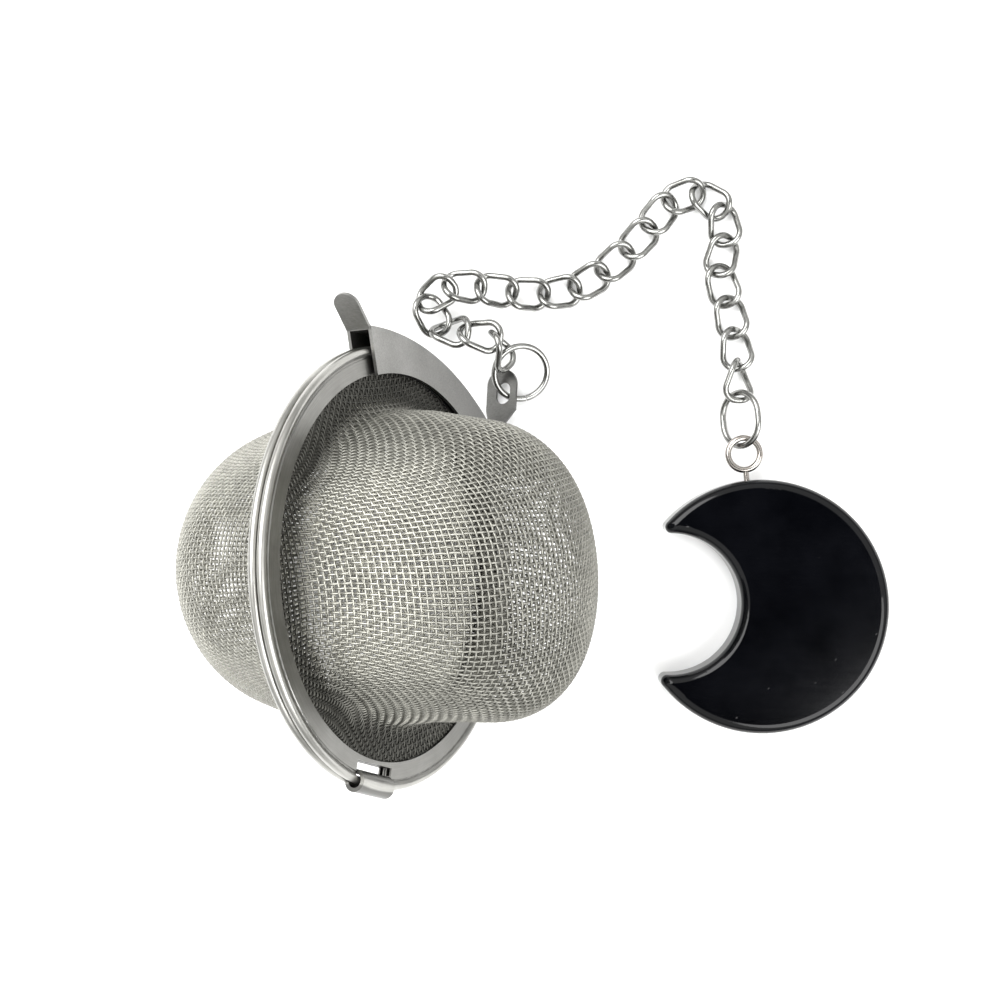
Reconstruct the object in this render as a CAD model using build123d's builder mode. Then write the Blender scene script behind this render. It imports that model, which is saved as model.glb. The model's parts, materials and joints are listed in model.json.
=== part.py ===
from build123d import *
import os
from math import acos, atan2, cos, degrees, hypot, radians, sin, tan

os.makedirs("parts", exist_ok=True)

# Tea infuser ball on a curb chain with a crescent charm.  Millimetres, Z up.
# The origin is on the table under the middle of everything; the closed ball lies
# on the rolled edge of its lower rim and on the shoulder of its lower dome.

# ---- where the ball lies ----------------------------------------------------
ball_x = -17.5036       # ball centre on the table
ball_y = -11.4188
turn = 2.8               # heading of the ball's axis

# ---- rims -------------------------------------------------------------------
ball_d = 50.0            # outside diameter over the rolled beads
bead_r = 0.5             # rolled bead
leaf = 0.2               # one leaf of the folded rim strip
mesh_t = 0.4             # woven mesh, over both wires
part_gap = 0.1           # gap between the closed halves
flange_w = 2.6           # folded flange, from its inner edge to the bead's centre
pocket_w = 1.1           # what the fold keeps between the mesh edge and the bead's centre
groove_r = 0.2           # groove pressed beside the bead
groove_off = 0.1         # how far the groove's centre stands off the corner
rim_r = ball_d / 2
bead_c = rim_r - bead_r              # radius of the bead's centre circle
flange_in = bead_c - flange_w
pocket_r = bead_c - pocket_w
flange_t = 2 * leaf + mesh_t
flange_h = part_gap / 2
bead_h = flange_h + bead_r

# ---- mesh domes -------------------------------------------------------------
near_shoulder_r = 9.6    # outside radius of the upper dome's shoulder
near_shoulder_c = 7.0    # radius of the shoulder's centre circle
near_shoulder_h = 12.4   # height of the shoulder's centre above the parting plane
near_lean = 6.5          # inward lean of the wall
far_shoulder_r = 16.0    # the lower dome is rounder
far_shoulder_c = 1.0
far_shoulder_h = 10.3
far_lean = 16.0
crown_from = 65.0        # where the shoulder runs into the crown
collar_fillet = 1.8      # flare where the wall meets the flange

# ---- hinge: tongue of the lower rim curled round the upper bead -------------
hinge_at = 252.0
tongue_w = 6.0
tongue_in = 0.8
tongue_out = 1.25
tongue_stop = 200.0
slot_side = 0.3          # clearance each side of the tongue
slot_w = 1.7             # slot, from its inner edge to the foot of the bead

# ---- latch: C-shaped channel over both rims ---------------------------------
latch_t = 0.4
latch_from = 42.0
latch_to = 100.0
lip_w = 3.2              # lip, inwards from the outside of the rims
lip_gap = 0.2            # lip over bead
end_gap = 1.9            # inside of the wall beyond the rims where the finger tab begins
wall_gap = 0.5           # the same at the pivot end
wall_bow = 36.0          # radius of the wall between them
pivot_at = 33.0
pin_r = 0.6
pin_clear = 0.1
pin_head_r = 1.0
pin_head_t = 0.35
lug_t = 0.4
lug_half = 1.5
curl_low = -0.35         # edge of the curled strip above the lug
tab_len = 4.7
tab_w = 3.1
tab_dir = (-0.625, 0.78)
ear_dir = 78.5
ear_r = 2.1              # half the ear's width, and its rounded end
ear_low = -0.85          # the ear's edge nearer the lower rim
ear_l = 9.35
ear_neck = 2.0           # where the ear widens from the strip
lug_root = 24.0
hole_w = 2.0
hole_l = 2.8
hole_h = 1.5
hole_s = 6.2

lip_in = rim_r - lip_w
wall_c = rim_r + wall_gap + latch_t / 2
latch_end_r = rim_r + end_gap + latch_t
pivot_r = wall_c + latch_t / 2 + pin_clear + pin_r

# ---- jump ring, chain, charm ------------------------------------------------
wire_d = 0.8
ring_c = 3.4             # centre radius of the jump ring
ring_cut = 2.0           # degrees left open where the ring closes
ring_turn = 52.6         # direction of the ring's centre from the hole
ring_lift = 0.1          # the ring's wire above the middle of the hole
ring_open = 285.0        # where the ring closes
chain_turn = 146.1       # direction of the first link from the ring's centre
chain_off = 2.16
link_l = 5.9
link_w = 4.3
link_twist = 1.3
link_bend_r = 1.5
slack = 0.12
slack_bend = 0.38        # more slack where the chain turns
charm_ring_l = 7.5
charm_ring_w = 6.7
eye_c = 2.0              # centre radius of the eye
stem_r = 0.35
stem_out = 3.35          # from the eye's centre to the stone
stem_in = 3.0            # stem glued into the stone
charm_r = 15.8
charm_bite = 8.8         # radius of the concave side
charm_bite_off = 11.4
charm_bite_at = -97.6    # direction of the bite from the stem
charm_t = 5.8
charm_tip = 0.8
charm_edge = 1.2

# ---- the ball's own axes ----------------------------------------------------
# It touches the table at the lower bead and at the lower shoulder, which sets
# the tilt: A sin(tilt) - B cos(tilt) = D.
lean_a = bead_c - far_shoulder_c
lean_b = far_shoulder_h - bead_h
lean_d = far_shoulder_r - bead_r
tilt = degrees(atan2(lean_b, lean_a)) + 90 - degrees(acos(lean_d / hypot(lean_a, lean_b)))
ball_z = bead_c * sin(radians(tilt)) + bead_h * cos(radians(tilt)) + bead_r
centre = Vector(ball_x, ball_y, ball_z)
n = Vector(sin(radians(tilt)) * cos(radians(turn)), sin(radians(tilt)) * sin(radians(turn)), cos(radians(tilt)))
v = Vector(-sin(radians(turn)), cos(radians(turn)), 0)
u = v.cross(n)
rim_plane = Plane(origin=centre, x_dir=u, z_dir=n)
ball_axis = Axis(centre, n)


def at(r, ang, h=0.0):
    """Point at radius r, angle ang and height h above the parting plane."""
    return rim_plane.from_local_coords(Vector(r * cos(radians(ang)), r * sin(radians(ang)), h))


def flat(r, ang):
    """The same point in the parting plane's own coordinates."""
    return (r * cos(radians(ang)), r * sin(radians(ang)))


def section(side):
    """Half-plane through the axis: X outward, Y away from the parting plane."""
    return Plane(origin=centre, x_dir=u, z_dir=v * -side)


def finish(part, name):
    part.label = name
    export_step(part, f"parts/{name}.step")


# ---- rims: folded strip, rolled bead, pressed groove ------------------------
def rim_profile():
    with Locations((flange_in, flange_h)):
        Rectangle(bead_c - flange_in, flange_t, align=(Align.MIN, Align.MIN))
    with Locations((flange_in, flange_h + leaf)):
        Rectangle(pocket_r - flange_in, mesh_t, align=(Align.MIN, Align.MIN), mode=Mode.SUBTRACT)
    with Locations((bead_c, bead_h)):
        Circle(bead_r)
    with Locations((bead_c - bead_r - groove_off, flange_h + flange_t + groove_off)):
        Circle(groove_r, mode=Mode.SUBTRACT)


def turned(ang):
    """Sketch plane in the parting plane with X outward at this angle."""
    return Plane(origin=centre, x_dir=at(1, ang) - centre, z_dir=n)


# window through both flanges: the tongue is lanced out of the lower one and passes through the upper one
slot_out = bead_c - bead_r
with BuildSketch(turned(hinge_at)) as hinge_slot:
    with Locations((slot_out - slot_w / 2, 0)):
        Rectangle(slot_w, tongue_w + 2 * slot_side)
slot_depth = 2 * (flange_h + flange_t)

with BuildPart() as near_rim:
    with BuildSketch(section(1)):
        rim_profile()
    revolve(axis=ball_axis)
    extrude(hinge_slot.sketch, amount=slot_depth, mode=Mode.SUBTRACT)
finish(near_rim.part, "near_rim")

hinge_out = Vector(cos(radians(hinge_at)), sin(radians(hinge_at)), 0)
hinge_u = at(1, hinge_at) - centre
hinge_t = n.cross(hinge_u)
with BuildPart() as far_rim:
    with BuildSketch(section(-1)):
        rim_profile()
    revolve(axis=ball_axis)
    extrude(hinge_slot.sketch, amount=-slot_depth, mode=Mode.SUBTRACT)
    # tongue: strip rolled about the upper bead
    tongue_plane = Plane(origin=at(bead_c, hinge_at, bead_h), x_dir=hinge_u, z_dir=hinge_t * -1)
    with BuildSketch(tongue_plane):
        Circle(tongue_out)
        Circle(tongue_in, mode=Mode.SUBTRACT)
        with BuildLine():
            Polyline(
                (0, 0),
                (3 * cos(radians(tongue_stop)), 3 * sin(radians(tongue_stop))),
                (-3, -3),
                (0, -3),
                close=True,
            )
        make_face(mode=Mode.SUBTRACT)
    extrude(amount=tongue_w / 2, both=True)
    # lug under the latch pivot
    lug_h = curl_low - pin_clear - lug_t
    with BuildSketch(turned(pivot_at).offset(lug_h)):
        with Locations((lug_root, 0)):
            Rectangle(pivot_r - lug_root, 2 * lug_half, align=(Align.MIN, Align.CENTER))
        with Locations((pivot_r, 0)):
            Circle(lug_half)
    extrude(amount=lug_t)
finish(far_rim.part, "far_rim")


# ---- mesh domes -------------------------------------------------------------
near_shape = (near_shoulder_c, near_shoulder_r, near_shoulder_h, radians(near_lean))
far_shape = (far_shoulder_c, far_shoulder_r, far_shoulder_h, radians(far_lean))
crown_turn = radians(crown_from)
collar_h = flange_h + leaf + mesh_t


def crown_of(c, r, h):
    """Radius of the crown that continues the shoulder, and the height of its centre."""
    crown_r = r + c / cos(crown_turn)
    return crown_r, h + (r - crown_r) * sin(crown_turn)


def dome_profile(side, c, r, h, lean):
    """Section of a dome: collar in the rim, flare, wall, shoulder and crown."""
    crown_r, crown_h = crown_of(c, r, h)
    wall_turn = degrees(lean)
    with BuildSketch(section(side)) as profile:
        with BuildLine():
            for t in (0, mesh_t):
                top = (c + (r - t) * cos(lean), h + (r - t) * sin(lean))
                foot = (top[0] + (top[1] - collar_h + t) * tan(lean), collar_h - t)
                FilletPolyline((pocket_r, foot[1]), foot, top, radius=collar_fillet + t)
                CenterArc((c, h), r - t, wall_turn, crown_from - wall_turn)
                CenterArc((0, crown_h), crown_r - t, crown_from, 90 - crown_from)
            Line((0, crown_h + crown_r), (0, crown_h + crown_r - mesh_t))
            Line((pocket_r, collar_h - mesh_t), (pocket_r, collar_h))
        make_face()
    return profile.sketch


with BuildPart() as near_mesh:
    revolve(dome_profile(1, *near_shape), axis=ball_axis)
    extrude(hinge_slot.sketch, amount=slot_depth, mode=Mode.SUBTRACT)
finish(near_mesh.part, "near_mesh")

with BuildPart() as far_mesh:
    revolve(dome_profile(-1, *far_shape), axis=ball_axis)
    extrude(hinge_slot.sketch, amount=-slot_depth, mode=Mode.SUBTRACT)
finish(far_mesh.part, "far_mesh")

# ---- latch ------------------------------------------------------------------
pivot = at(pivot_r, pivot_at)
pivot_flat = flat(pivot_r, pivot_at)
curl_c = pin_r + pin_clear + latch_t / 2
lip_low = bead_h + bead_r + lip_gap
lip_high = lip_low + latch_t
channel_start = flat(wall_c + latch_t / 2, latch_from)
channel_end = flat(latch_end_r, latch_to)
curl_stop = ear_dir - 90 + 360
ear_base = (pivot_flat[0] + curl_c * cos(radians(curl_stop)), pivot_flat[1] + curl_c * sin(radians(curl_stop)))
ear_along = u * cos(radians(ear_dir)) + v * sin(radians(ear_dir))
ear_plane = Plane(origin=rim_plane.from_local_coords(Vector(*ear_base, 0)), x_dir=n, z_dir=n.cross(ear_along))
tab_base = flat(latch_end_r - latch_t / 2, latch_to)
tab_along = (u * tab_dir[0] + v * tab_dir[1]).normalized()
tab_plane = Plane(origin=rim_plane.from_local_coords(Vector(*tab_base, 0)), x_dir=n, z_dir=n.cross(tab_along))


with BuildPart() as latch:
    for h in (lip_low, -lip_high):
        with BuildSketch(rim_plane.offset(h)):
            with BuildLine():
                CenterArc((0, 0), lip_in, latch_from, latch_to - latch_from)
                Line(flat(lip_in, latch_to), channel_end)
                RadiusArc(channel_end, channel_start, wall_bow)
                Line(channel_start, flat(lip_in, latch_from))
            make_face()
        extrude(amount=latch_t)
    # outer wall of the channel
    with BuildSketch(rim_plane.offset(-lip_high)):
        with BuildLine():
            RadiusArc(channel_end, channel_start, wall_bow)
            Line(channel_start, flat(wall_c - latch_t / 2, latch_from))
            RadiusArc(flat(wall_c - latch_t / 2, latch_from), flat(latch_end_r - latch_t, latch_to), -wall_bow)
            Line(flat(latch_end_r - latch_t, latch_to), channel_end)
        make_face()
    extrude(amount=2 * lip_high)
    # strip on to the pivot and curled round the pin
    with BuildSketch(rim_plane.offset(curl_low)):
        with BuildLine():
            CenterArc((0, 0), wall_c + latch_t / 2, pivot_at, latch_from - pivot_at)
            Line(flat(wall_c + latch_t / 2, latch_from), flat(wall_c - latch_t / 2, latch_from))
            CenterArc((0, 0), wall_c - latch_t / 2, pivot_at, latch_from - pivot_at)
            Line(flat(wall_c - latch_t / 2, pivot_at), flat(wall_c + latch_t / 2, pivot_at))
        make_face()
        with BuildLine():
            curl_from = pivot_at + 180
            sweep_by = curl_stop - curl_from
            outer = CenterArc(pivot_flat, curl_c + latch_t / 2, curl_from, sweep_by)
            inner = CenterArc(pivot_flat, curl_c - latch_t / 2, curl_from, sweep_by)
            Line(outer @ 0, inner @ 0)
            Line(outer @ 1, inner @ 1)
        make_face()
    extrude(amount=lip_high - curl_low)
    # ear, folded back beside the curl, with an elongated hole
    with BuildSketch(ear_plane):
        with BuildLine():
            ear_high = ear_low + 2 * ear_r
            ear_end = ear_l - ear_r
            Polyline(
                (ear_low, ear_end),
                (ear_low, 2 * ear_neck),
                (curl_low, ear_neck),
                (curl_low, 0),
                (lip_high, 0),
                (lip_high, ear_neck),
                (ear_high, 2 * ear_neck),
                (ear_high, ear_end),
            )
            ThreePointArc((ear_high, ear_end), (ear_low + ear_r, ear_l), (ear_low, ear_end))
        make_face()
        with Locations((hole_h, hole_s)):
            SlotOverall(hole_l, hole_w, rotation=90, mode=Mode.SUBTRACT)
    extrude(amount=latch_t / 2, both=True)
    # finger tab, flared off the end of the wall
    with BuildSketch(tab_plane):
        with Locations((0, 0)):
            Rectangle(tab_w, tab_len - tab_w / 2, align=(Align.CENTER, Align.MIN))
        with Locations((0, tab_len - tab_w / 2)):
            Circle(tab_w / 2)
    extrude(amount=latch_t / 2, both=True)
finish(latch.part, "latch")

with BuildPart() as latch_pin:
    with BuildSketch(Plane(origin=pivot + n * (lug_h + lug_t), x_dir=u, z_dir=n)):
        Circle(pin_r)
    extrude(amount=lip_high + pin_clear - lug_h - lug_t)
    with BuildSketch(Plane(origin=pivot + n * (lip_high + pin_clear), x_dir=u, z_dir=n)):
        Circle(pin_head_r)
    extrude(amount=pin_head_t)
    fillet(latch_pin.edges().filter_by(GeomType.CIRCLE).group_by(SortBy.RADIUS)[-1].sort_by(Axis(pivot, n))[-1:], 0.2)
finish(latch_pin.part, "latch_pin")


# ---- bent-wire loops --------------------------------------------------------
def wire_loop(place, half_l, half_w, rise, bend_r):
    """Closed loop of round wire, in two halves that meet at the ends."""
    with BuildPart() as loop:
        for s in (1, -1):
            with BuildLine(place) as path:
                FilletPolyline(
                    (s * half_l, 0, 0),
                    (s * half_l, s * half_w, rise),
                    (-s * half_l, s * half_w, -rise),
                    (-s * half_l, 0, 0),
                    radius=bend_r,
                )
            with BuildSketch(Plane(origin=path.line @ 0, z_dir=path.line % 0)):
                Circle(wire_d / 2)
            sweep(path=path.line)
    return loop.part


def heading(ang, climb):
    return Vector(cos(radians(ang)) * cos(radians(climb)), sin(radians(ang)) * cos(radians(climb)), sin(radians(climb)))


def lay_plane(origin, ang, climb, roll):
    """Plane whose X runs along the chain and whose Z is tipped by roll."""
    x = heading(ang, climb)
    y = Vector(-sin(radians(ang)), cos(radians(ang)), 0)
    z = x.cross(y)
    return Plane(origin=origin, x_dir=x, z_dir=z * cos(radians(roll)) - y * sin(radians(roll)))


# ---- jump ring through the ear ----------------------------------------------
hole = ear_plane.from_local_coords(Vector(hole_h, hole_s, 0))
ring_n = Vector(0.2, -0.3, 0.93).normalized()


def in_ring(ang):
    """Direction in the jump ring's plane, seen at this heading from above."""
    d = Vector(cos(radians(ang)), sin(radians(ang)), 0)
    return (d - ring_n * d.dot(ring_n)).normalized()


ring_centre = hole + in_ring(ring_turn) * ring_c + Vector(0, 0, ring_lift)
cut_dir = in_ring(ring_open)
with BuildPart() as jump_ring:
    with BuildSketch(Plane(origin=ring_centre, x_dir=cut_dir, z_dir=ring_n.cross(cut_dir))):
        with Locations((ring_c, 0)):
            Circle(wire_d / 2)
    revolve(axis=Axis(ring_centre, ring_n), revolution_arc=360 - ring_cut)
finish(jump_ring.part, "jump_ring")

# ---- curb chain -------------------------------------------------------------
# Each link as it lies: heading, climb and roll.  It leaves the jump ring on
# edge, drops to the table, doubles back over itself and then lies flat.
lay = [
    (116, 32, 65), (170, -1, 22), (168, -33, 28), (120, 6, 4), (35, 10, -8), (-3, -8, -8), (-8, -15, 0),
    (-2, -10, 3), (10, -3, 0), (31, 0, 1), (41, 0, 0), (48, 3, -2), (53, -2, 5), (20, 1, 6),
    (-37, 1, -4), (-82, -2, -7), (-106, 1, -2), (-72, -3, 0), (-78, 3, -1), (-84, 7, -9), (-92, 10, -39),
]
half_link = (link_l - wire_d) / 2
lay_ring = (-85, 5, 51)
lay_eye = (-84, 0, -1)
halves = [half_link] * len(lay) + [(charm_ring_l - wire_d) / 2, eye_c]
poses = lay + [lay_ring, lay_eye]
ways = [heading(p[0], p[1]) for p in poses]
slacks = [slack]
for k in range(len(ways) - 1):
    slacks.append(slack + slack_bend * degrees(acos(min(1.0, ways[k].dot(ways[k + 1])))) / 60)
slacks.append(slack)
join = ring_centre + in_ring(chain_turn) * chain_off
joins = [join]
centres = []
for k in range(len(poses)):
    centres.append(join + ways[k] * (halves[k] - wire_d / 2 - slacks[k] / 2))
    join = centres[k] + ways[k] * (halves[k] - wire_d / 2 - slacks[k + 1] / 2)
    joins.append(join)

for k in range(len(lay)):
    place = lay_plane(centres[k], *lay[k])
    link = wire_loop(place, half_link, (link_w - wire_d) / 2, link_twist, link_bend_r)
    finish(link, f"chain_link_{k + 1:02d}")

# ---- charm ring, eye pin, crescent ------------------------------------------
place = lay_plane(centres[-2], *lay_ring)
charm_ring_half = (charm_ring_w - wire_d) / 2
finish(wire_loop(place, halves[-2], charm_ring_half, 0, charm_ring_half - 0.05), "charm_ring")

eye = centres[-1]
stem_dir = ways[-1]
charm_centre = eye + stem_dir * (charm_r + stem_out)
stem_start = eye + stem_dir * eye_c
stem_len = stem_out - eye_c + stem_in
with BuildPart() as eye_pin:
    with BuildSketch(Plane(origin=eye, x_dir=stem_dir, z_dir=Vector(0, 0, 1).cross(stem_dir))):
        with Locations((eye_c, 0)):
            Circle(wire_d / 2)
    revolve(axis=Axis(eye, (0, 0, 1)))
    with BuildSketch(Plane(origin=stem_start, z_dir=stem_dir)):
        Circle(stem_r)
    extrude(amount=stem_len)
finish(eye_pin.part, "eye_pin")

with BuildPart() as moon_charm:
    with BuildSketch(Plane(origin=(charm_centre.X, charm_centre.Y, 0), x_dir=stem_dir)) as moon:
        Circle(charm_r)
        with PolarLocations(charm_bite_off, 1, start_angle=charm_bite_at):
            Circle(charm_bite, mode=Mode.SUBTRACT)
        fillet(moon.vertices(), charm_tip)
    extrude(amount=charm_t)
    fillet(moon_charm.faces().sort_by(Axis.Z)[-1].edges(), charm_edge)
    fillet(moon_charm.faces().sort_by(Axis.Z)[0].edges(), charm_edge)
    with BuildSketch(Plane(origin=stem_start, z_dir=stem_dir)):
        Circle(stem_r)
    extrude(amount=stem_len, mode=Mode.SUBTRACT)
finish(moon_charm.part, "moon_charm")
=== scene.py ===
import json

import bpy
import numpy as np
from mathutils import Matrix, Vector


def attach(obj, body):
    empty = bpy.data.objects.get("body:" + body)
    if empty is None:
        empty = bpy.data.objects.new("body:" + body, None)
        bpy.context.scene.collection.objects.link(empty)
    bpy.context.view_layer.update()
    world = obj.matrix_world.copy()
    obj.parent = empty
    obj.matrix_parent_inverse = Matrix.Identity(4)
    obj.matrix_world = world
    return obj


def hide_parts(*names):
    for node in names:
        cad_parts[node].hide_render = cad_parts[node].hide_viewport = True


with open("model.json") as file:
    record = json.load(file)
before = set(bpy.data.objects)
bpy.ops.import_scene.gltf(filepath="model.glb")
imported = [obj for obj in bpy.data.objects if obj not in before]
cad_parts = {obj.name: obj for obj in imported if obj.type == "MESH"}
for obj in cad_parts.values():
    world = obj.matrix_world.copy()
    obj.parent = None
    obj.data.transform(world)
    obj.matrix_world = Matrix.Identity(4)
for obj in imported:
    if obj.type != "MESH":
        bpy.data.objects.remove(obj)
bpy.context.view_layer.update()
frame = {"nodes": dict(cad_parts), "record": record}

# Sizes are in millimetres, as in the CAD; MM turns them into the scene's metres.
MM = 0.001

# ---- the ball's axes, from its joints -----------------------------------------
BEAD_CENTRE_R = 24.5            # centre circle of the rolled bead, which is the hinge pin
BEAD_CENTRE_H = 0.55            # its height above the parting plane
HINGE_AT = np.radians(252)

joints = {joint["name"]: joint for joint in frame["record"]["behaviour"]["joints"]}
n = -np.array(joints["latch_pivot"]["axis"])        # the ball's axis, towards the lid
v = np.cross([0, 0, 1], n)
v /= np.linalg.norm(v)
u = np.cross(v, n)
hinge_dir = np.cos(HINGE_AT) * u + np.sin(HINGE_AT) * v
hinge_pos = np.array(joints["lid_hinge"]["pos_m"]) / MM
centre = hinge_pos - BEAD_CENTRE_R * hinge_dir - BEAD_CENTRE_H * n


# ---- shader helper --------------------------------------------------------------
class Shader:
    """A Principled material, with short calls for the nodes that feed it."""

    def __init__(self, name, **fixed):
        self.mat = bpy.data.materials.new(name)
        self.mat.use_nodes = True
        self.tree = self.mat.node_tree
        self.bsdf = self.tree.nodes["Principled BSDF"]
        for key, value in fixed.items():
            self.bsdf.inputs[key.replace("_", " ")].default_value = value

    def node(self, kind, links=(), **props):
        """A new node: links are its fed sockets, props its fixed sockets and its settings."""
        made = self.tree.nodes.new(kind)
        for key, value in props.items():
            if key in made.inputs:
                made.inputs[key].default_value = value
            else:
                setattr(made, key, value)
        for socket, source in dict(links).items():
            self.tree.links.new(source, made.inputs[socket])
        return made

    def math(self, op, a, b=0.0):
        """Maths on two values, each a socket or a number."""
        made = self.node("ShaderNodeMath", operation=op)
        for k, value in enumerate((a, b)):
            if isinstance(value, (int, float)):
                made.inputs[k].default_value = value
            else:
                self.tree.links.new(value, made.inputs[k])
        return made.outputs[0]

    def blend(self, a, share, b):
        """share of a, and the rest of b."""
        parts = (self.math("MULTIPLY", a, share), self.math("MULTIPLY", b, 1 - share))
        return self.math("ADD", *parts)

    def vector(self, op, source, fixed):
        """Vector maths with a fixed second vector."""
        made = self.node("ShaderNodeVectorMath", {0: source}, operation=op)
        made.inputs[1].default_value = fixed
        return made.outputs["Vector" if op == "SUBTRACT" else "Value"]

    def scaled(self, colour, factor):
        made = self.node("ShaderNodeVectorMath", {0: colour, 3: factor}, operation="SCALE")
        return made.outputs["Vector"]

    def remap(self, source, to, span=(0.0, 1.0)):
        """source over span, mapped to the two values of to and held at them outside."""
        made = self.node("ShaderNodeMapRange", {"Value": source})
        for key, value in zip(("From Min", "From Max", "To Min", "To Max"), (*span, *to)):
            made.inputs[key].default_value = value
        return made.outputs["Result"]

    def ramp(self, source, stops):
        made = self.node("ShaderNodeValToRGB", {"Fac": source})
        elements = made.color_ramp.elements
        while len(elements) < len(stops):
            elements.new(0.5)
        for element, (spot, colour) in zip(elements, stops):
            element.position = spot
            element.color = (*colour, 1)
        return made.outputs["Color"]

    def place(self):
        return self.node("ShaderNodeTexCoord").outputs["Object"]

    def stretched(self, scale, turn):
        made = self.node("ShaderNodeMapping", {"Vector": self.place()}, Scale=scale, Rotation=turn)
        return made.outputs["Vector"]

    def noise(self, vector, scale, detail=4.0, rough=0.5):
        made = self.node("ShaderNodeTexNoise", {"Vector": vector},
                         Scale=scale, Detail=detail, Roughness=rough)
        return made.outputs["Fac"]

    def feed(self, socket, source):
        self.tree.links.new(source, self.bsdf.inputs[socket])

    def bump(self, source, strength, distance):
        made = self.node("ShaderNodeBump", {"Height": source},
                         Strength=strength, Distance=distance * MM)
        self.feed("Normal", made.outputs["Normal"])

    def along_ball(self, *axes):
        """How far a point is from the ball's centre along each of the axes, in metres."""
        arm = self.vector("SUBTRACT", self.place(), centre * MM)
        return [self.vector("DOT_PRODUCT", arm, axis) for axis in axes]


# ---- materials --------------------------------------------------------------------
# Shades are colour ramps over noise: (noise value, linear colour).
RIM_SHADES = [
    (0.3, (0.14, 0.138, 0.129)),
    (0.5, (0.185, 0.183, 0.173)),
    (0.72, (0.25, 0.248, 0.236)),
]
# Levels multiply a colour from these ramps. They are painted light and painted shade, set
# to the photograph's brightness, piece by piece, and don't stand for wear that could be made
# out in it. The fine marks (lines, grain, clouding, scratches, pits) are guesses.
BEAD_EDGE = (24.02, 24.35)      # radii between which the dull flange turns into the bead, brightened by a painted highlight
BEAD_HIGHLIGHT = 1.8
CURL_EDGE = (25.0, 25.2)        # the same for the hinge's curl, outside the bead, darkened by painted shade
CURL_SHADE = 0.33
RIM_LINES = 9000.0              # brushed lines: how fine across the rim
RIM_LINES_ROUND = 6.0           # and along it

LATCH_SHADES = [
    (0.3, (0.11, 0.109, 0.104)),
    (0.5, (0.145, 0.144, 0.138)),
    (0.7, (0.185, 0.183, 0.177)),
]
LATCH_SPAN = (-21.6, -5.9)      # x of the finger tab and of the ear
LATCH_LIGHT_AND_SHADE = (1.6, 0.65)      # the painted light and shade levels there: lighter at the finger tab, darker at the ear
LATCH_GRAIN = (400, 6000, 6000)
LATCH_GRAIN_TURN = (0.5, 0.2, -0.7)

WOVEN_TINT = (1, 0.985, 0.885)
WOVEN_SHADES = [(0.3, 0.75), (0.5, 1.0), (0.7, 1.3)]    # noise value, share of the tone
FOLD_EDGE = (0.35, 0.85)        # where the painted shade in the fold ends, as a share of its height
FOLD_RAGGED = 0.35
# These place the painted light on wires that face into the ball.
MIDDLE_H = 6.0                  # height of a point inside each dome
FACING_EDGE = (-8.0, 2.0)       # how far it lies in front of (-) or behind (+) the surface
# A painted pool of light on the lid's upper side, set to the photograph's brightness there.
LIGHT_PATCH = np.array([0.0, 1.2, 17.0])  # its middle, from the ball's centre
PATCH_SPAN = (6.0, 14.0)        # distances over which it fades

STONE_SHADES = [(0.35, (0.0004, 0.0005, 0.0009)), (0.7, (0.0018, 0.002, 0.0029))]
STONE_SCRATCHES = (300, 5000, 300)
STONE_SCRATCH_TURN = (0, 0, 0.6)
PIT_SIZE = 0.09


def metres(span):
    return [value * MM for value in span]


def rim_steel():
    """Pressed strip: fine lines run round it, a painted highlight on the bead, painted shade on
    the curl.
    """
    s = Shader("rim_steel", Metallic=1.0)
    right, ahead, height = s.along_ball(u, v, n)
    squares = (s.math("MULTIPLY", right, right), s.math("MULTIPLY", ahead, ahead))
    radius = s.math("SQRT", s.math("ADD", *squares))
    angle = s.math("ARCTAN2", ahead, right)
    lines = s.node("ShaderNodeCombineXYZ", {
        "X": s.math("MULTIPLY", radius, RIM_LINES),
        "Y": s.math("MULTIPLY", angle, RIM_LINES_ROUND),
        "Z": s.math("MULTIPLY", height, RIM_LINES),
    })
    brush = s.noise(lines.outputs["Vector"], 1.0, 3.0, 0.6)
    bloom = s.noise(s.place(), 160.0, 5.0, 0.6)
    dull = s.ramp(s.blend(brush, 0.4, bloom), RIM_SHADES)
    # painted highlight: the bead's colour is made brighter
    bead = s.remap(radius, (1.0, BEAD_HIGHLIGHT), metres(BEAD_EDGE))
    # painted shade: the hinge's curl is made darker
    curl = s.remap(radius, (1.0, CURL_SHADE), metres(CURL_EDGE))
    s.feed("Base Color", s.scaled(dull, s.math("MULTIPLY", bead, curl)))
    s.feed("Roughness", s.remap(s.blend(brush, 0.5, bloom), (0.22, 0.44)))
    s.bump(brush, 0.25, 0.04)
    return s.mat


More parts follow.
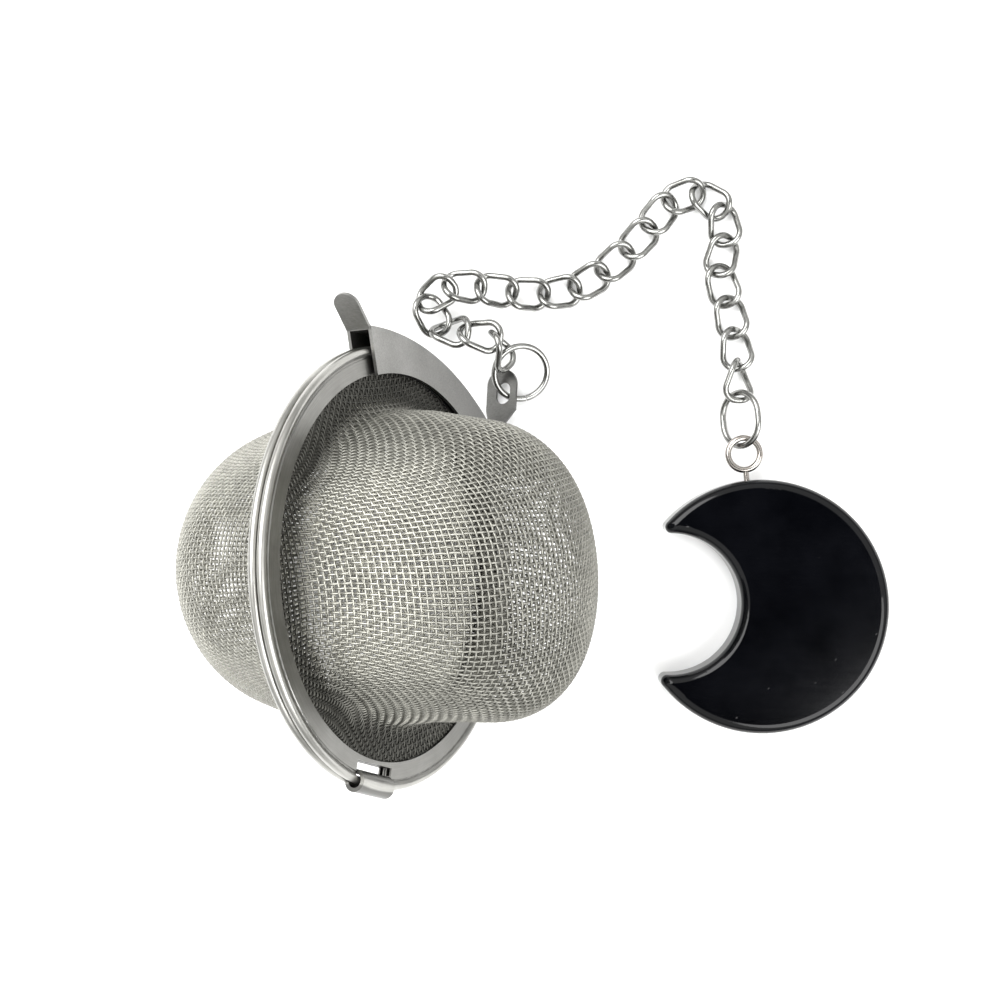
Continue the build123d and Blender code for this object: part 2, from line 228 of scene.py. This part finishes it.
def woven_steel(name, side, tone, inside, patch, fold, fold_shade):
    """Drawn wire, with painted light where it faces into the ball and in the patch,
    and painted shade in the fold.

    side is 1 for the lid's dome and -1 for the other; tone is its brightness, and
    inside, patch and fold_shade are levels of it: painted light, painted light and painted
    shade; fold is the painted shade's height.
    """
    s = Shader(name, Metallic=1.0)
    spot = s.noise(s.place(), 900.0, 2.0)
    broad = s.noise(s.place(), 90.0, 3.0)
    shades = [(at, [tone * share * tint for tint in WOVEN_TINT]) for at, share in WOVEN_SHADES]
    clean = s.ramp(s.blend(spot, 0.6, broad), shades)

    # painted shade in the fold, darkest next to the parting plane
    above = s.math("MULTIPLY", s.math("ABSOLUTE", s.along_ball(n)[0]), 1 / (fold * MM))
    ragged = s.math("ADD", above, s.math("MULTIPLY", broad, FOLD_RAGGED))
    dark = s.remap(ragged, (fold_shade, 1.0), FOLD_EDGE)

    # painted light on wire faces that turn into the ball
    from_middle = s.vector("SUBTRACT", s.place(), (centre + side * MIDDLE_H * n) * MM)
    normal = s.node("ShaderNodeTexCoord").outputs["Normal"]
    facing = s.node("ShaderNodeVectorMath", {0: from_middle, 1: normal}, operation="DOT_PRODUCT")
    inside_light = s.remap(facing.outputs["Value"], (inside, 1.0), metres(FACING_EDGE))

    # painted pool of light on the lid's upper side
    from_patch = s.vector("DISTANCE", s.place(), (centre + LIGHT_PATCH) * MM)
    near = s.remap(from_patch, (patch, 1.0), metres(PATCH_SPAN))

    level = s.math("MULTIPLY", dark, s.math("MULTIPLY", inside_light, near))
    s.feed("Base Color", s.scaled(clean, level))
    s.feed("Roughness", s.remap(spot, (0.36, 0.54)))
    return s.mat


def latch_steel():
    """Brushed sheet: short straight grain, painted light at the finger tab, painted shade at the
    ear.
    """
    s = Shader("latch_steel", Metallic=1.0)
    grain = s.noise(s.stretched(LATCH_GRAIN, LATCH_GRAIN_TURN), 1.0, 3.0, 0.6)
    bloom = s.noise(s.place(), 260.0, 4.0)
    steel = s.ramp(s.blend(grain, 0.5, bloom), LATCH_SHADES)
    x = s.node("ShaderNodeSeparateXYZ", {"Vector": s.place()}).outputs["X"]
    # painted light and shade along the latch, from the finger tab to the ear
    level = s.remap(x, LATCH_LIGHT_AND_SHADE, metres(LATCH_SPAN))
    s.feed("Base Color", s.scaled(steel, level))
    s.feed("Roughness", s.remap(bloom, (0.28, 0.44)))
    s.bump(grain, 0.3, 0.03)
    return s.mat


def plated_wire(name, low, high):
    """Bright plated wire with faint marks, between the colours low and high."""
    s = Shader(name, Metallic=1.0)
    marks = s.noise(s.place(), 700.0, 5.0, 0.65)
    s.feed("Base Color", s.ramp(marks, [(0.3, low), (0.7, high)]))
    s.feed("Roughness", s.remap(marks, (0.12, 0.32)))
    s.bump(marks, 0.15, 0.03)
    return s.mat


def dark_stone():
    """Polished near-black stone: faint clouding, tiny pits and fine scratches."""
    s = Shader("dark_stone", Metallic=0.0, Specular_IOR_Level=0.2,
               Coat_Weight=0.05, Coat_Roughness=0.06)
    cloud = s.noise(s.place(), 120.0, 5.0, 0.6)
    s.feed("Base Color", s.ramp(cloud, STONE_SHADES))
    scratch = s.noise(s.stretched(STONE_SCRATCHES, STONE_SCRATCH_TURN), 1.0, 2.0)
    s.feed("Roughness", s.remap(s.blend(scratch, 0.5, cloud), (0.04, 0.15)))
    pits = s.node("ShaderNodeTexVoronoi", {"Vector": s.place()}, Scale=420.0)
    s.bump(s.remap(pits.outputs["Distance"], (0.0, 1.0), (0.0, PIT_SIZE)), 0.3, 0.03)
    return s.mat


# ---- woven domes --------------------------------------------------------------------
SHEET = 0.5                     # depth that the weave takes up
# Pitch and wire are set to look as fine and as open as the photograph. Read from
# it, the pitch is 0.69 to 0.75 over most of the domes and 0.58 beside the flange.
PITCH = 0.64
WIRE_R = 0.128
CRIMP = 0.065                   # how far a wire rises and dips at the crossings
PRESSED = 0.45                  # how much thicker the wires get in the fold
PRESSED_FROM, PRESSED_OVER = 4.5, 2.0
TUBE_SIDES = 5
STEPS = 4                       # points of a wire's line to each crossing
EDGE_LEFT = 0.02                # what the wires stay short of the fold's edge

# The domes' profiles, as in the CAD.
CROWN_FROM = 65.0
COLLAR_FILLET = 1.8
POCKET_R = 23.4
COLLAR_H = 0.65                 # outside of the collar above the parting plane
SHAPES = {                      # shoulder radius, its centre's radius and height, wall's lean
    "near_mesh": (9.6, 7.0, 12.4, 6.5),
    "far_mesh": (16.0, 1.0, 10.3, 16.0),
}

# The flat weave is taken to stretch towards the rim when it is pressed into a dome, and
# its wires to draw together between its two directions.
STRETCH, STRETCH_FROM, STRETCH_OVER = 0.2, 12, 10
PULL, PULL_FROM, PULL_OVER = 0.25, 8, 16
WEAVE_TURN = np.radians(6)

# The lid's crown stands over to one side, against v, and its u side is pushed in.
DENT_V, DENT_U = 1.6, 3.0
DENT_FROM_H, DENT_AT_R = 6, 18

# The wires are cut away in the hinge's window.
WINDOW_IN, WINDOW_HALF = 22.2, 3.4
SHORTEST = 4                    # a run of points has to be longer than this


def rising(value, start, over):
    """0 up to start, then rising to 1 over the given length."""
    return np.clip((value - start) / over, 0, 1)


def arc_points(middle, radius, angles):
    return middle + radius * np.stack([np.cos(angles), np.sin(angles)], 1)


def dome_line(shoulder, shoulder_c, shoulder_h, wall_lean):
    """Mid-surface of a dome, from the apex out: arc length, radius, height, normal."""
    crown_from, lean, half = np.radians(CROWN_FROM), np.radians(wall_lean), SHEET / 2
    join_r = shoulder_c + shoulder * np.cos(crown_from)
    join_h = shoulder_h + shoulder * np.sin(crown_from)
    crown = join_r / np.cos(crown_from)
    crown_h = join_h - crown * np.sin(crown_from)
    cap = np.radians(np.linspace(90, CROWN_FROM, 60))
    bend = np.radians(np.linspace(CROWN_FROM, wall_lean, 80))
    parts = [
        arc_points(np.array([0.0, crown_h]), crown - half, cap),
        arc_points(np.array([shoulder_c, shoulder_h]), shoulder - half, bend)[1:],
    ]
    top = parts[-1][-1]
    foot_h = COLLAR_H - half
    foot_r = top[0] + (top[1] - foot_h) * np.tan(lean)
    fillet = COLLAR_FILLET + half
    back = fillet * np.tan((np.pi / 2 - lean) / 2)
    start = np.array([foot_r, foot_h]) + back * np.array([-np.sin(lean), np.cos(lean)])
    flare = np.linspace(np.pi + lean, 1.5 * np.pi, 40)
    parts += [
        np.linspace(top, start, 40)[1:],
        arc_points(np.array([foot_r + back, foot_h + fillet]), fillet, flare)[1:],
        np.linspace([foot_r + back, foot_h], [POCKET_R, foot_h], 10)[1:],
    ]
    line = np.concatenate(parts)
    step = np.gradient(line, axis=0)
    step /= np.linalg.norm(step, axis=1)[:, None]
    arc = np.concatenate([[0], np.cumsum(np.linalg.norm(np.diff(line, axis=0), axis=1))])
    return arc, line[:, 0], line[:, 1], np.stack([-step[:, 1], step[:, 0]], 1)


def weave_paths(side, shape, across):
    """One set of wires, crimped over and under: each one's line, surface normals and radii."""
    arc, line_r, line_h, normal = dome_line(*shape)
    drawn = 1 + STRETCH * rising(arc, STRETCH_FROM, STRETCH_OVER)
    flat = np.concatenate([[0], np.cumsum(np.diff(arc) / drawn[1:])])
    reach = flat[-1] - EDGE_LEFT
    count = int(reach / PITCH)
    for i in range(-count, count + 1):
        s = i * PITCH
        last = int(np.sqrt(reach**2 - s**2) / (PITCH / STEPS))
        if last < SHORTEST:
            continue
        t = np.arange(-last, last + 1) * PITCH / STEPS
        x, y = (t, np.full_like(t, s)) if across else (np.full_like(t, s), t)
        rho = np.hypot(x, y)
        theta = np.arctan2(y, x)
        pull = PULL * rising(rho, PULL_FROM, PULL_OVER)
        phi = theta + pull / 4 * np.sin(4 * theta) + side * WEAVE_TURN
        r, h = np.interp(rho, flat, line_r), np.interp(rho, flat, line_h)
        normal_r, normal_h = (np.interp(rho, flat, part) for part in normal.T)
        radial = np.cos(phi)[:, None] * u + np.sin(phi)[:, None] * v
        up = normal_r[:, None] * radial + side * normal_h[:, None] * n
        up /= np.linalg.norm(up, axis=1)[:, None]
        width = WIRE_R * (1 + PRESSED * rising(rho, flat[-1] - PRESSED_FROM, PRESSED_OVER))
        phase = np.cos(np.pi * t / PITCH) * (-1) ** i * (1 if across else -1)
        points = centre + r[:, None] * radial + side * h[:, None] * n
        points = points + CRIMP * phase[:, None] * up
        if side > 0:
            high = rising(h, DENT_FROM_H, line_h[0] - DENT_FROM_H)
            right = np.maximum(np.cos(phi), 0) * r / DENT_AT_R
            points = points - (DENT_V * high)[:, None] * v
            points = points - (DENT_U * high * right)[:, None] * u
        aside = points - centre
        beside = np.abs(aside @ np.cross(n, hinge_dir))
        window = (aside @ hinge_dir > WINDOW_IN) & (beside < WINDOW_HALF)
        for run in np.split(np.arange(len(t)), np.flatnonzero(np.diff(window.astype(int))) + 1):
            if len(run) > SHORTEST and not window[run[0]]:
                yield points[run], up[run], width[run]


def tubes(name, paths, sides):
    """One mesh of round wires along the given paths."""
    ring = np.arange(sides) * 2 * np.pi / sides + np.pi / sides
    verts, faces, base = [], [], 0
    for points, up, width in paths:
        along = np.gradient(points, axis=0)
        along /= np.linalg.norm(along, axis=1)[:, None]
        aside = np.cross(along, up)
        aside /= np.linalg.norm(aside, axis=1)[:, None]
        lift = np.cross(aside, along)
        loop = (np.cos(ring)[None, :, None] * aside[:, None]
                + np.sin(ring)[None, :, None] * lift[:, None])
        verts.append((points[:, None] + width[:, None, None] * loop).reshape(-1, 3))
        row = np.arange(len(points) - 1)[:, None] * sides
        col = np.arange(sides)[None]
        after = (col + 1) % sides
        quad = [row + col, row + after, row + sides + after, row + sides + col]
        faces.append(np.stack(quad, -1).reshape(-1, 4) + base)
        base += len(points) * sides
    verts = (np.concatenate(verts) * MM).astype(np.float32)
    faces = np.concatenate(faces).astype(np.int32)
    mesh = bpy.data.meshes.new(name)
    mesh.vertices.add(len(verts))
    mesh.vertices.foreach_set("co", verts.ravel())
    mesh.loops.add(faces.size)
    mesh.loops.foreach_set("vertex_index", faces.ravel())
    mesh.polygons.add(len(faces))
    mesh.polygons.foreach_set("loop_start", np.arange(len(faces), dtype=np.int32) * 4)
    mesh.polygons.foreach_set("use_smooth", np.ones(len(faces), bool))
    mesh.update(calc_edges=True)
    piece = bpy.data.objects.new(name, mesh)
    bpy.context.collection.objects.link(piece)
    return piece


# Each dome's levels: painted light facing into the ball and in the lid's patch, painted shade in
# the fold.
weaves = {
    "near_mesh": woven_steel("near_weave", 1, tone=0.235, inside=1.0, patch=1.6,
                             fold=3.2, fold_shade=0.24),
    "far_mesh": woven_steel("far_weave", -1, tone=0.285, inside=2.3, patch=1.0,
                            fold=2.6, fold_shade=0.05),
}
for side, node, body in ((1, "near_mesh", "lid"), (-1, "far_mesh", "base_half")):
    for across, name in ((True, "warp"), (False, "weft")):
        wires = tubes(f"{node}_{name}", weave_paths(side, SHAPES[node], across), TUBE_SIDES)
        wires.data.materials.append(weaves[node])
        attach(wires, body)
        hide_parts(node)

# ---- finishes on the CAD pieces --------------------------------------------------------
bright_wire = plated_wire("bright_wire", (0.19, 0.19, 0.182), (0.31, 0.31, 0.299))
rim_finish = rim_steel()
finish_of = {
    "far_rim": rim_finish,
    "near_rim": rim_finish,
    "latch": latch_steel(),
    "moon_charm": dark_stone(),
    "eye_pin": plated_wire("warm_wire", (0.27, 0.245, 0.225), (0.39, 0.37, 0.35)),
}
for name, piece in frame["nodes"].items():
    if name.endswith("_mesh"):
        continue
    piece.data.materials.clear()
    piece.data.materials.append(finish_of.get(name, bright_wire))
    piece.data.polygons.foreach_set("use_smooth", np.ones(len(piece.data.polygons), bool))

# ---- floor, in metres from here on --------------------------------------------------------
FLOOR_HALF = 3
PAPER_SHADES = [(0.3, (0.86, 0.86, 0.86)), (0.7, (0.9, 0.9, 0.9))]

floor_mesh = bpy.data.meshes.new("floor")
corners = [(-1, -1), (1, -1), (1, 1), (-1, 1)]
floor_mesh.from_pydata([(x * FLOOR_HALF, y * FLOOR_HALF, 0) for x, y in corners],
                       [], [(0, 1, 2, 3)])
floor = bpy.data.objects.new("floor", floor_mesh)
bpy.context.collection.objects.link(floor)
paper = Shader("paper", Roughness=0.9)
paper.feed("Base Color", paper.ramp(paper.noise(paper.place(), 30.0), PAPER_SHADES))
floor_mesh.materials.append(paper.mat)

# ---- light ----------------------------------------------------------------------------------
# The sky by height: a bright band all round, and a dark cap straight above, which the
# flat stone mirrors.
SKY_STOPS = [(0.0, 0.25), (0.25, 0.4), (0.5, 1.0), (0.94, 1.0), (0.957, 0.02)]
SKY_WARMTH = 0.985
SKY_LEVEL = 1.5
SKY_SLOPE = (-0.2, 0.1, 0)      # the side that is a little brighter

world = bpy.data.worlds.new("studio")
bpy.context.scene.world = world
world.use_nodes = True
sky = world.node_tree
direction = sky.nodes.new("ShaderNodeTexCoord").outputs["Generated"]
split = sky.nodes.new("ShaderNodeSeparateXYZ")
glow = sky.nodes.new("ShaderNodeValToRGB")
slope = sky.nodes.new("ShaderNodeVectorMath")
slope.operation = "DOT_PRODUCT"
slope.inputs[1].default_value = SKY_SLOPE
level = sky.nodes.new("ShaderNodeMath")
level.operation = "ADD"
level.inputs[1].default_value = SKY_LEVEL
sky.links.new(direction, split.inputs[0])
sky.links.new(direction, slope.inputs[0])
sky.links.new(split.outputs["Z"], glow.inputs["Fac"])
sky.links.new(slope.outputs["Value"], level.inputs[0])
sky.links.new(glow.outputs["Color"], sky.nodes["Background"].inputs["Color"])
sky.links.new(level.outputs[0], sky.nodes["Background"].inputs["Strength"])
while len(glow.color_ramp.elements) < len(SKY_STOPS):
    glow.color_ramp.elements.new(0.5)
for element, (spot, shade) in zip(glow.color_ramp.elements, SKY_STOPS):
    element.position = spot
    element.color = (shade, shade, shade * SKY_WARMTH, 1)

LAMP_SIZE = 0.6


def softbox(name, at, power):
    """A round area lamp that faces the middle of the floor."""
    lamp = bpy.data.lights.new(name, "AREA")
    lamp.shape = "DISK"
    lamp.size = LAMP_SIZE
    lamp.energy = power
    box = bpy.data.objects.new(name, lamp)
    box.location = at
    box.rotation_euler = (-Vector(at)).to_track_quat("-Z", "Y").to_euler()
    bpy.context.collection.objects.link(box)


softbox("key", (-0.3, 0.25, 0.55), 6.0)
softbox("fill", (0.35, -0.3, 0.55), 5.0)

# ---- camera, straight down as in the photograph ------------------------------------------------
EYE_FROM_BALL = (0.012, 0.00755)
EYE_H = 0.2

camera = bpy.data.cameras.new("camera")
camera.sensor_width = 36
camera.lens = 56.52
camera.clip_start = 0.01
eye = bpy.data.objects.new("camera", camera)
eye.location = (centre[0] * MM + EYE_FROM_BALL[0], centre[1] * MM + EYE_FROM_BALL[1], EYE_H)
bpy.context.collection.objects.link(eye)
bpy.context.scene.camera = eye
bpy.context.scene.view_settings.view_transform = "Standard"
